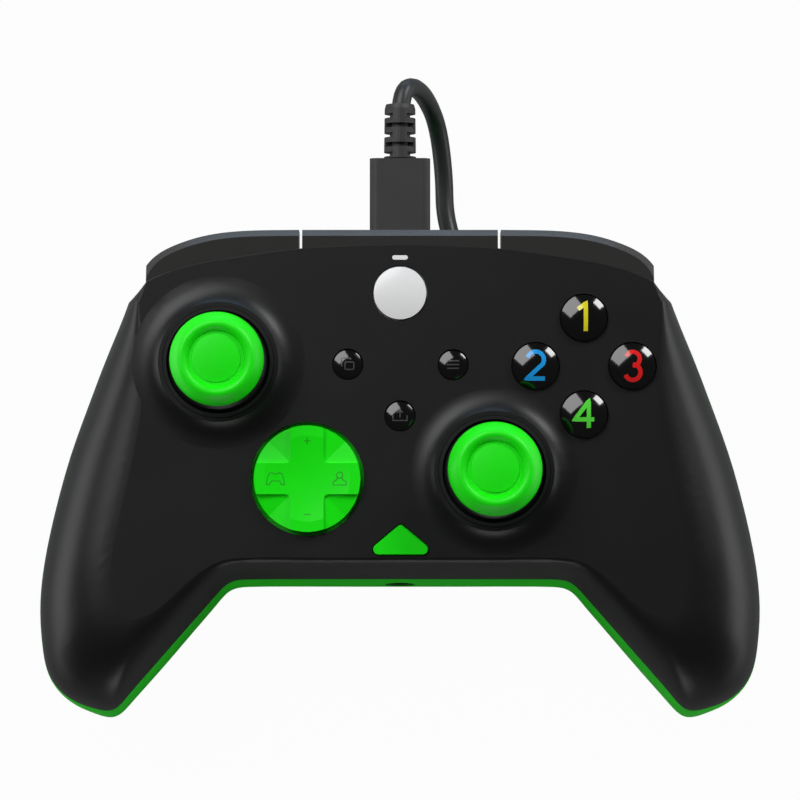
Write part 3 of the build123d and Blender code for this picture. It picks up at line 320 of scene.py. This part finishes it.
finishes = {
    "softBlack": finish("softBlack", (0.0030, 0.0030, 0.0033), (0.0042, 0.0042, 0.0046), 0.40, 5200.0,
                        0.00002, smudge=0.06, specular=0.42),
    "glossBlack": finish("glossBlack", (0.002, 0.002, 0.002), (0.003, 0.003, 0.003), 0.12, 2500.0,
                         0.000001, smudge=0.05, coat=0.5, coatRoughness=0.06),
    "bumperBlack": finish("bumperBlack", (0.030, 0.029, 0.028), (0.034, 0.033, 0.032), 0.10,
                          2500.0, 0.000001, smudge=0.05, coat=0.7, coatRoughness=0.04),
    "stickGreen": finish("stickGreen", (0.006, 0.87, 0.002), (0.010, 0.92, 0.004), 0.42, 4200.0,
                         0.00003, smudge=0.06, specular=0.35),
    "padGreen": facetedGreen("padGreen", padCentre, padFacets["armHalf"], padFacets["slope"]),
    "functionGreen": finish("functionGreen", (0.005, 0.87, 0.002), (0.008, 0.92, 0.004), 0.34,
                            5200.0, 0.00001, smudge=0.06, specular=0.35),
    "shellGreen": finish("shellGreen", (0.008, 0.88, 0.004), (0.012, 0.93, 0.006), 0.50, 4600.0,
                         0.00002, smudge=0.08, specular=0.2),
    "ringBlack": finish("ringBlack", (0.010, 0.010, 0.011), (0.014, 0.014, 0.015), 0.30, 6000.0,
                        0.000004),
    "stemBlack": finish("stemBlack", (0.007, 0.007, 0.008), (0.010, 0.010, 0.011), 0.42, 5200.0,
                        0.00001),
    "guideWhite": finish("guideWhite", (0.88, 0.88, 0.88), (0.84, 0.84, 0.85), 0.30, 4000.0,
                         0.000003, coat=0.3),
    "lampWhite": finish("lampWhite", (0.90, 0.90, 0.90), (0.86, 0.87, 0.88), 0.35, 6000.0,
                        0.000003),
    "overmould": finish("overmould", (0.020, 0.020, 0.021), (0.028, 0.028, 0.030), 0.50, 6500.0,
                        0.00003, smudge=0.08),
    "cableSkin": finish("cableSkin", (0.015, 0.016, 0.018), (0.021, 0.022, 0.024), 0.40, 3500.0,
                        0.00001, smudge=0.08),
    "frameGrey": finish("frameGrey", (0.17, 0.17, 0.18), (0.20, 0.20, 0.21), 0.5, 4000.0, 0.00002),
    "membrane": finish("membrane", (0.30, 0.31, 0.32), (0.34, 0.35, 0.36), 0.65, 3500.0, 0.00002),
    "boardGreen": finish("boardGreen", (0.010, 0.11, 0.045), (0.014, 0.14, 0.06), 0.28, 1800.0,
                         0.00002, uneven=1.5, coat=0.3),
    "sensorGreen": finish("sensorGreen", (0.02, 0.13, 0.05), (0.03, 0.16, 0.07), 0.45, 4000.0,
                          0.00001),
    "switchBlack": finish("switchBlack", (0.02, 0.02, 0.021), (0.03, 0.03, 0.031), 0.45, 4000.0,
                          0.00001),
    "turnedSteel": turnedSteel(),
    "zincScrew": finish("zincScrew", (0.12, 0.12, 0.13), (0.16, 0.16, 0.17), 0.38, 7000.0,
                        0.00001, metallic=1.0),
    "wovenTie": wovenTie(tieWeave),
}
print("finishes made:", len(finishes))

nodeFinish = {
    "softBlack": ["face_plate", "trigger_left", "trigger_right", "rear_button_left",
                  "rear_button_right"],
    "shellGreen": ["rear_shell"],
    "bumperBlack": ["bumper_bridge", "bumper_left", "bumper_right"],
    "glossBlack": ["face_button_top", "face_button_left", "face_button_right",
                   "face_button_bottom", "view_button", "menu_button", "share_button"],
    "padGreen": ["dpad_disc"],
    "functionGreen": ["function_button"],
    "stickGreen": ["left_stick_cap", "right_stick_cap"],
    "stemBlack": ["left_stick_stem", "right_stick_stem"],
    "ringBlack": ["left_stick_ring", "right_stick_ring"],
    "guideWhite": ["guide_button"],
    "lampWhite": ["status_light"],
    "overmould": ["cable_plug", "far_plug", "strain_relief"],
    "frameGrey": ["shoulder_frame", "dpad_post", "dpad_rocker", "left_stick_rocker",
                  "right_stick_rocker", "left_stick_swivel", "right_stick_swivel"],
    "membrane": ["button_membrane", "dpad_membrane"],
    "boardGreen": ["main_board"],
    "sensorGreen": ["stick_sensors"],
    "switchBlack": ["click_switches", "headset_jack"],
    "turnedSteel": ["trigger_pins", "trigger_springs", "rumble_motor_left", "rumble_motor_right",
                    "rumble_weight_left", "rumble_weight_right", "left_stick_housing",
                    "right_stick_housing", "stick_springs", "usb_socket", "plug_tongue",
                    "far_plug_shell"],
    "zincScrew": ["case_screws"],
    "wovenTie": ["coil_tie"],
}
for finishName, names in nodeFinish.items():
    for name in names:
        nodes[name].data.materials.clear()
        nodes[name].data.materials.append(finishes[finishName])
cableLine.data.materials.append(finishes["cableSkin"])
print("pieces dressed")


def addPiece(name, mesh, material, body):
    mesh.materials.append(material)
    piece = bpy.data.objects.new(name, mesh)
    scene.collection.objects.link(piece)
    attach(piece, body)
    return piece


# Printed and engraved signs: strokes laid on the surface that carries them

def arcPoints(x, y, radius, start, end, steps=14):
    sweep = [math.radians(start + (end - start) * i / steps) for i in range(steps + 1)]
    return [(x + radius * math.cos(a), y + radius * math.sin(a)) for a in sweep]


def resample(points, step=0.25):
    out = [points[0]]
    for a, b in zip(points, points[1:]):
        count = max(1, math.ceil(math.dist(a, b) / step))
        out += [(a[0] + (b[0] - a[0]) * i / count, a[1] + (b[1] - a[1]) * i / count)
                for i in range(1, count + 1)]
    return out


def strokeMesh(name, strokes, width, centre, height, lift=0.03, sink=0.12, mitre=0.6):
    # every stroke is a closed thin bar that follows the surface below it
    mesh = bmesh.new()
    for stroke in strokes:
        closed = stroke[0] == stroke[-1]
        points = resample(stroke)
        if closed:
            points = points[:-1]
        count = len(points)
        rings = []
        for i, (x, y) in enumerate(points):
            before = points[i - 1] if closed or i else points[i]
            after = points[(i + 1) % count] if closed or i < count - 1 else points[i]
            dx, dy = after[0] - before[0], after[1] - before[1]
            run = math.hypot(dx, dy)
            nx, ny = -dy / run, dx / run
            here = points[i]
            inward = (here[0] - before[0], here[1] - before[1])
            onward = (after[0] - here[0], after[1] - here[1])
            bend = 1.0
            if math.hypot(*inward) > 0 and math.hypot(*onward) > 0:
                dot = ((inward[0] * onward[0] + inward[1] * onward[1])
                       / math.hypot(*inward) / math.hypot(*onward))
                bend = 1 / max(math.sqrt(max((1 + dot) / 2, 0.0)), mitre)
            ring = []
            for side, level in ((1, lift), (-1, lift), (-1, -sink), (1, -sink)):
                px = x + nx * side * width / 2 * bend
                py = y + ny * side * width / 2 * bend
                ring.append(mesh.verts.new(place(centre[0] + px, centre[1] + py,
                                                 height(px, py) + level)))
            rings.append(ring)
        pairs = list(zip(rings, rings[1:])) + ([(rings[-1], rings[0])] if closed else [])
        for first, second in pairs:
            for k in range(4):
                mesh.faces.new((first[k], first[(k + 1) % 4], second[(k + 1) % 4], second[k]))
        if not closed:
            mesh.faces.new(rings[0])
            mesh.faces.new(list(reversed(rings[-1])))
    bmesh.ops.recalc_face_normals(mesh, faces=mesh.faces)
    data = bpy.data.meshes.new(name)
    mesh.to_mesh(data)
    mesh.free()
    return data


def domeHeight(radius, rise, dome):
    curve = (radius ** 2 + dome ** 2) / (2 * dome)
    return lambda x, y: faceTop + rise - curve + math.sqrt(curve ** 2 - x * x - y * y)


keyNumbers = {
    "radius": 4.85, "rise": 2.3, "dome": 1.3, "stroke": 0.92,
    "face_button_top": {"at": (39.1, 17.5), "colour": (0.80, 0.72, 0.02), "strokes": [
        [(-1.3, 1.7), (0.35, 2.95), (0.35, -2.95)]]},
    "face_button_left": {"at": (28.8, 7.2), "colour": (0.01, 0.33, 0.80), "strokes": [
        arcPoints(0.0, 1.25, 1.75, 165, -32) + [(-1.85, -2.75), (1.95, -2.75)]]},
    "face_button_right": {"at": (49.4, 7.2), "colour": (0.78, 0.012, 0.012), "strokes": [
        arcPoints(0.0, 1.45, 1.5, 160, -90), arcPoints(0.0, -1.4, 1.65, 90, -160)]},
    "face_button_bottom": {"at": (39.1, -3.1), "colour": (0.10, 0.74, 0.05), "strokes": [
        [(0.95, -2.95), (0.95, 2.75), (-2.0, -1.15), (2.1, -1.15)]]},
}


def addKeyNumbers(spec):
    surface = domeHeight(spec["radius"], spec["rise"], spec["dome"])
    for body in ("face_button_top", "face_button_left", "face_button_right",
                 "face_button_bottom"):
        sign = spec[body]
        colour = sign["colour"]
        paint = finish(body + "_print", colour, tuple(c * 0.9 for c in colour), 0.2, 3000.0,
                       0.000001, coat=0.5)
        mesh = strokeMesh(body + "_number", sign["strokes"], spec["stroke"], sign["at"], surface)
        addPiece(body + "_number", mesh, paint, body)


addKeyNumbers(keyNumbers)


def squareLoop(x, y, wide, high, corner=0.35):
    left, right, low, top = x - wide / 2, x + wide / 2, y - high / 2, y + high / 2
    loop = (arcPoints(right - corner, top - corner, corner, 0, 90, 4)
            + arcPoints(left + corner, top - corner, corner, 90, 180, 4)
            + arcPoints(left + corner, low + corner, corner, 180, 270, 4)
            + arcPoints(right - corner, low + corner, corner, 270, 360, 4))
    return loop + [loop[0]]


smallSigns = {
    "radius": 3.0, "rise": 0.9, "dome": 0.7, "stroke": 0.26,
    "view_button": {"at": (-11.1, 7.6), "strokes": [
        squareLoop(0.35, -0.35, 1.9, 1.6),
        [(-1.1, -0.3), (-1.35, -0.3), (-1.35, 1.25), (0.6, 1.25), (0.6, 0.9)]]},
    "menu_button": {"at": (11.3, 7.5), "strokes": [
        [(-1.3, 0.8), (1.3, 0.8)], [(-1.3, 0.0), (1.3, 0.0)], [(-1.3, -0.8), (1.3, -0.8)]]},
    "share_button": {"at": (0.0, -3.4), "strokes": [
        [(-1.5, 0.1), (-1.5, -1.0), (1.5, -1.0), (1.5, 0.1)],
        [(0.0, -0.35), (0.0, 1.25)], [(-0.6, 0.65), (0.0, 1.3), (0.6, 0.65)]]},
}


def addSmallSigns(spec):
    surface = domeHeight(spec["radius"], spec["rise"], spec["dome"])
    paint = finish("smallSign", (0.055, 0.055, 0.058), (0.065, 0.065, 0.068), 0.3, 3000.0,
                   0.000001)
    for body in ("view_button", "menu_button", "share_button"):
        sign = spec[body]
        mesh = strokeMesh(body + "_sign", sign["strokes"], spec["stroke"], sign["at"], surface,
                          lift=0.02)
        addPiece(body + "_sign", mesh, paint, body)


addSmallSigns(smallSigns)

padSigns = {
    "at": (-19.7, -16.8), "rise": 2.1, "dishRadius": 60.0, "dishDepth": 0.7, "stroke": 0.2,
    "plus": [[(-0.7, 8.0), (0.7, 8.0)], [(0.0, 7.3), (0.0, 8.7)]],
    "minus": [[(-0.7, -7.6), (0.7, -7.6)]],
    "gamepad": [(-8.6, -1.3), (-8.4, 0.2), (-8.0, 1.1), (-7.4, 1.25), (-7.0, 1.0), (-6.4, 1.0),
                (-6.0, 1.25), (-5.4, 1.1), (-5.0, 0.2), (-4.8, -1.3), (-5.4, -1.3), (-5.9, -0.5),
                (-7.5, -0.5), (-8.0, -1.3), (-8.6, -1.3)],
    "shoulders": [(5.5, -1.35), (5.5, -0.7), (6.3, -0.2), (6.3, 0.1), (7.5, 0.1), (7.5, -0.2),
                  (8.3, -0.7), (8.3, -1.35), (5.5, -1.35)],
    "head": arcPoints(6.9, 0.75, 0.65, 0, 360, 16),
}


def addPadSigns(spec):
    def surface(x, y):
        sag = spec["dishRadius"] - math.sqrt(spec["dishRadius"] ** 2 - x * x - y * y)
        return faceTop + spec["rise"] - max(spec["dishDepth"] - sag, 0.0)

    head = spec["head"][:-1] + [spec["head"][0]]
    strokes = spec["plus"] + spec["minus"] + [spec["gamepad"], spec["shoulders"], head]
    # the signs are engraved into the disc; their darker green is painted shade standing in for the
    # shadow in the grooves
    paint = finish("padSignGrooveShade", (0.004, 0.30, 0.004), (0.006, 0.34, 0.006), 0.5, 3000.0, 0.000001)
    mesh = strokeMesh("dpad_signs", strokes, spec["stroke"], spec["at"], surface, lift=0.012)
    addPiece("dpad_signs", mesh, paint, "dpad_disc")


addPadSigns(padSigns)
print("signs laid")


# Rows of small repeated forms, laid out by geometry nodes

def rowTree():
    tree = bpy.data.node_groups.new("rowOfCopies", "GeometryNodeTree")
    for label, kind in (("Count", "NodeSocketInt"), ("Start", "NodeSocketVector"),
                        ("Step", "NodeSocketVector"), ("Shape", "NodeSocketObject"),
                        ("Finish", "NodeSocketMaterial")):
        tree.interface.new_socket(label, in_out="INPUT", socket_type=kind)
    tree.interface.new_socket("Row", in_out="OUTPUT", socket_type="NodeSocketGeometry")
    entry = tree.nodes.new("NodeGroupInput")
    result = tree.nodes.new("NodeGroupOutput")
    line = tree.nodes.new("GeometryNodeMeshLine")
    shape = tree.nodes.new("GeometryNodeObjectInfo")
    copies = tree.nodes.new("GeometryNodeInstanceOnPoints")
    solid = tree.nodes.new("GeometryNodeRealizeInstances")
    dress = tree.nodes.new("GeometryNodeSetMaterial")
    tree.links.new(entry.outputs["Count"], line.inputs["Count"])
    tree.links.new(entry.outputs["Start"], line.inputs["Start Location"])
    tree.links.new(entry.outputs["Step"], line.inputs["Offset"])
    tree.links.new(entry.outputs["Shape"], shape.inputs["Object"])
    tree.links.new(line.outputs["Mesh"], copies.inputs["Points"])
    tree.links.new(shape.outputs["Geometry"], copies.inputs["Instance"])
    tree.links.new(copies.outputs["Instances"], solid.inputs["Geometry"])
    tree.links.new(solid.outputs["Geometry"], dress.inputs["Geometry"])
    tree.links.new(entry.outputs["Finish"], dress.inputs["Material"])
    tree.links.new(dress.outputs["Geometry"], result.inputs["Row"])
    return tree


rowOfCopies = rowTree()


def roundedBar(size, bevel):
    # a bar with rounded edges, centred on its own origin
    mesh = bmesh.new()
    bmesh.ops.create_cube(mesh, size=1.0)
    bmesh.ops.scale(mesh, vec=Vector(size) * mm, verts=mesh.verts)
    bmesh.ops.bevel(mesh, geom=mesh.edges[:], offset=bevel * mm, segments=3, affect="EDGES",
                    profile=0.5)
    data = bpy.data.meshes.new("bar")
    mesh.to_mesh(data)
    mesh.free()
    return data


def addRow(name, spec, material):
    shape = bpy.data.objects.new("shape", roundedBar(spec["size"], spec["bevel"]))
    host = bpy.data.objects.new("host", bpy.data.meshes.new("host"))
    scene.collection.objects.link(shape)
    scene.collection.objects.link(host)
    modifier = host.modifiers.new("row", "NODES")
    modifier.node_group = rowOfCopies
    values = {"Count": spec["count"], "Start": place(*spec["start"]),
              "Step": Vector(spec["step"]) * mm, "Shape": shape, "Finish": material}
    for item in rowOfCopies.interface.items_tree:
        if item.in_out == "INPUT":
            modifier[item.identifier] = values[item.name]
    graph = bpy.context.evaluated_depsgraph_get()
    data = bpy.data.meshes.new_from_object(host.evaluated_get(graph))
    host.modifiers.remove(modifier)
    bpy.data.objects.remove(host)
    bpy.data.objects.remove(shape)
    data.name = name
    data.materials.clear()
    return addPiece(name, data, material, "pad")


plugRibs = {"size": (0.7, 0.7, 4.2), "bevel": 0.25, "count": 8, "step": (0.0, 1.5, 0.0)}
plugRibsLeft = addRow("plug_ribs_left", {**plugRibs, "start": (-46.2, 6.0, 4.0)},
                      finishes["overmould"])
plugRibsRight = addRow("plug_ribs_right", {**plugRibs, "start": (-32.2, 6.0, 4.0)},
                       finishes["overmould"])
shellWindows = {"size": (2.3, 2.3, 0.1), "bevel": 0.02, "count": 2, "step": (5.6, 0.0, 0.0)}
windowsTop = addRow("shell_windows_top", {**shellWindows, "start": (-42.0, 29.6, 6.25)},
                    finishes["switchBlack"])
windowsBottom = addRow("shell_windows_bottom", {**shellWindows, "start": (-42.0, 29.6, 1.75)},
                       finishes["switchBlack"])
# dark bars laid on the case screw heads: painted shade standing in for the shadow in their cross
# recesses
recessShadeBar = {"bevel": 0.05, "count": 2}
for row, spread, y in (("front", 121.675, -48.248), ("rear", 113.925, 8.695)):
    for bar, size in (("long", (2.6, 0.5, 0.2)), ("wide", (0.5, 2.6, 0.2))):
        addRow("screw_cross_" + row + "_" + bar,
               {**recessShadeBar, "size": size, "start": (-spread / 2, y, 7.2),
                "step": (spread, 0.0, 0.0)}, finishes["switchBlack"])
print("rows laid")


# Strain relief: a tapered sleeve with slots on alternate sides

relief = {"start": 52.5, "end": 64.4, "axisHeight": 32.7, "baseRadius": 3.45, "tipRadius": 3.3,
          "coreRadius": 2.2, "rings": 5, "ringWidth": 1.15, "collar": 1.5, "collarEdge": 0.25,
          "baseShare": 0.93, "tipShare": 0.92, "bridgeAngle": 26, "facets": 40}


def addRelief(spec):
    # rings joined by bridges: side bridges and top bridges take turns
    mesh = bmesh.new()
    steps = spec["facets"]
    centreZ = spec["axisHeight"]
    bridgeReach = math.cos(math.radians(spec["bridgeAngle"]))

    def radiusAt(y):
        share = (y - spec["start"]) / (spec["end"] - spec["start"])
        return spec["baseRadius"] + (spec["tipRadius"] - spec["baseRadius"]) * share

    def ring(y, radius):
        return [mesh.verts.new(place(radius * math.sin(2 * math.pi * k / steps), y,
                                     centreZ + radius * math.cos(2 * math.pi * k / steps)))
                for k in range(steps)]

    def bridged(k, turn):
        angle = 2 * math.pi * (k + 0.5) / steps
        across = abs(math.sin(angle)) if turn % 2 else abs(math.cos(angle))
        return across > bridgeReach

    pitch = (spec["end"] - spec["start"] - spec["collar"]) / spec["rings"]
    levels = [(spec["start"], radiusAt(spec["start"]) * spec["baseShare"], None),
              (spec["start"] + spec["collarEdge"], radiusAt(spec["start"]), None)]
    edge = spec["start"] + spec["collar"] - (pitch - spec["ringWidth"])
    levels.append((edge, radiusAt(edge), None))
    for turn in range(spec["rings"]):
        low = spec["start"] + spec["collar"] + pitch * turn
        high = low + spec["ringWidth"]
        levels.append((low, radiusAt(low), turn))
        levels.append((high, radiusAt(high), None))
    # the slots: outer skin over solid stretches and bridges, core skin elsewhere
    outer = [ring(y, r) for y, r, _ in levels]
    core = [ring(y, spec["coreRadius"]) for y, _, _ in levels]
    for i, (first, second) in enumerate(zip(levels, levels[1:])):
        turn = second[2]
        for k in range(steps):
            after = (k + 1) % steps
            solid = turn is None or bridged(k, turn)
            if solid:
                mesh.faces.new((outer[i][k], outer[i][after], outer[i + 1][after],
                                outer[i + 1][k]))
                if turn is not None:
                    for edgeAt, far in ((k, bridged((k - 1) % steps, turn)),
                                        (after, bridged(after, turn))):
                        if not far:
                            mesh.faces.new((outer[i][edgeAt], outer[i + 1][edgeAt],
                                            core[i + 1][edgeAt], core[i][edgeAt]))
            else:
                mesh.faces.new((core[i][k], core[i][after], core[i + 1][after], core[i + 1][k]))
                mesh.faces.new((outer[i][k], outer[i][after], core[i][after], core[i][k]))
                mesh.faces.new((outer[i + 1][k], outer[i + 1][after], core[i + 1][after],
                                core[i + 1][k]))
    mesh.faces.new(outer[0])
    tip = ring(spec["end"], spec["tipRadius"] * spec["tipShare"])
    for k in range(steps):
        after = (k + 1) % steps
        mesh.faces.new((outer[-1][k], outer[-1][after], tip[after], tip[k]))
    mesh.faces.new(tip)
    for vert in [v for v in mesh.verts if not v.link_faces]:
        mesh.verts.remove(vert)
    bmesh.ops.recalc_face_normals(mesh, faces=mesh.faces)
    data = bpy.data.meshes.new("relief_sleeve")
    mesh.to_mesh(data)
    mesh.free()
    piece = addPiece("relief_sleeve", data, finishes["overmould"], "pad")
    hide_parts("strain_relief")
    return piece


reliefSleeve = addRelief(relief)
print("strain relief made")

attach(cableLine, "pad")
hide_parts("cord", "cord_coil", "cord_tail")


# Floor, world and lamps

stage = {"half": 3.0, "grey": 0.35, "roughness": 0.9, "seenShare": 0.97, "mirroredShare": 0.03,
         "skyLight": 0.06, "skySeen": 0.94}


def addStage(spec):
    mesh = bpy.data.meshes.new("floor")
    half = spec["half"]
    mesh.from_pydata([(-half, -half, 0), (half, -half, 0), (half, half, 0), (-half, half, 0)], [],
                     [(0, 1, 2, 3)])
    floor = bpy.data.objects.new("floor", mesh)
    scene.collection.objects.link(floor)
    material, tree, shader = newMaterial("paleFloor")
    shader.inputs["Base Color"].default_value = (spec["grey"], spec["grey"], spec["grey"], 1)
    shader.inputs["Roughness"].default_value = spec["roughness"]
    glow = tree.nodes.new("ShaderNodeEmission")
    glow.inputs["Color"].default_value = (1, 1, 1, 1)
    rays = tree.nodes.new("ShaderNodeLightPath")
    seen = mathNode(tree, "MULTIPLY", rays.outputs["Is Camera Ray"], spec["seenShare"])
    mirrored = mathNode(tree, "MULTIPLY", rays.outputs["Is Glossy Ray"], spec["mirroredShare"])
    share = mathNode(tree, "ADD", seen, mirrored)
    mix = tree.nodes.new("ShaderNodeMixShader")
    tree.links.new(share, mix.inputs["Fac"])
    tree.links.new(shader.outputs["BSDF"], mix.inputs[1])
    tree.links.new(glow.outputs["Emission"], mix.inputs[2])
    output = tree.nodes["Material Output"]
    tree.links.new(mix.outputs["Shader"], output.inputs["Surface"])
    mesh.materials.append(material)


def addWorld(spec):
    world = bpy.data.worlds.new("studio")
    scene.world = world
    world.use_nodes = True
    tree = world.node_tree
    background = tree.nodes["Background"]
    background.inputs["Color"].default_value = (1, 1, 1, 1)
    rays = tree.nodes.new("ShaderNodeLightPath")
    level = mathNode(tree, "MULTIPLY", rays.outputs["Is Camera Ray"], spec["skySeen"])
    tree.links.new(mathNode(tree, "ADD", level, spec["skyLight"]), background.inputs["Strength"])


lamps = {
    "leftStrip": {"at": (-0.60, 0.06, 0.08), "size": (0.4, 0.14), "power": 0.5,
                  "colour": (1, 1, 1)},
    "rightStrip": {"at": (0.60, 0.06, 0.08), "size": (0.4, 0.14), "power": 0.5,
                   "colour": (1, 1, 1)},
    "leftCard": {"at": (-0.42, 0.02, 0.004), "size": (0.5, 0.36), "power": 0.85,
                 "colour": (1, 1, 1), "flat": True},
    "rightCard": {"at": (0.42, 0.02, 0.004), "size": (0.5, 0.36), "power": 0.85,
                  "colour": (1, 1, 1), "flat": True},
    "rearLeftSoft": {"at": (-0.45, 0.55, 0.80), "size": (0.8, 0.7), "power": 7.5,
                     "colour": (1, 1, 1)},
    "rearRightKey": {"at": (0.60, 0.60, 0.55), "size": (0.35, 0.3), "power": 4.2,
                     "colour": (1, 1, 1)},
    "rearLow": {"at": (0.0, 0.60, 0.045), "size": (0.5, 0.09), "power": 0.60,
                "colour": (0.50, 0.75, 1.0)},
    "frontLow": {"at": (0.0, -0.80, 0.16), "size": (0.5, 0.12), "power": 0.9,
                 "colour": (1, 1, 1)},
}


def addLamps(specs):
    target = Vector((0, 0, 0.03))  # about the middle of the casing
    for name, spec in specs.items():
        data = bpy.data.lights.new(name, "AREA")
        data.shape = "RECTANGLE"
        data.size, data.size_y = spec["size"]
        data.energy = spec["power"]
        data.color = spec["colour"]
        lamp = bpy.data.objects.new(name, data)
        lamp.location = spec["at"]
        lamp.rotation_euler = (target - lamp.location).to_track_quat("-Z", "Y").to_euler()
        if spec.get("flat"):
            # a card that lies on the floor and faces up
            lamp.rotation_euler = (math.pi, 0, 0)
        scene.collection.objects.link(lamp)


addStage(stage)
addWorld(stage)
addLamps(lamps)
scene.view_settings.view_transform = "Standard"
print("stage and lamps set")
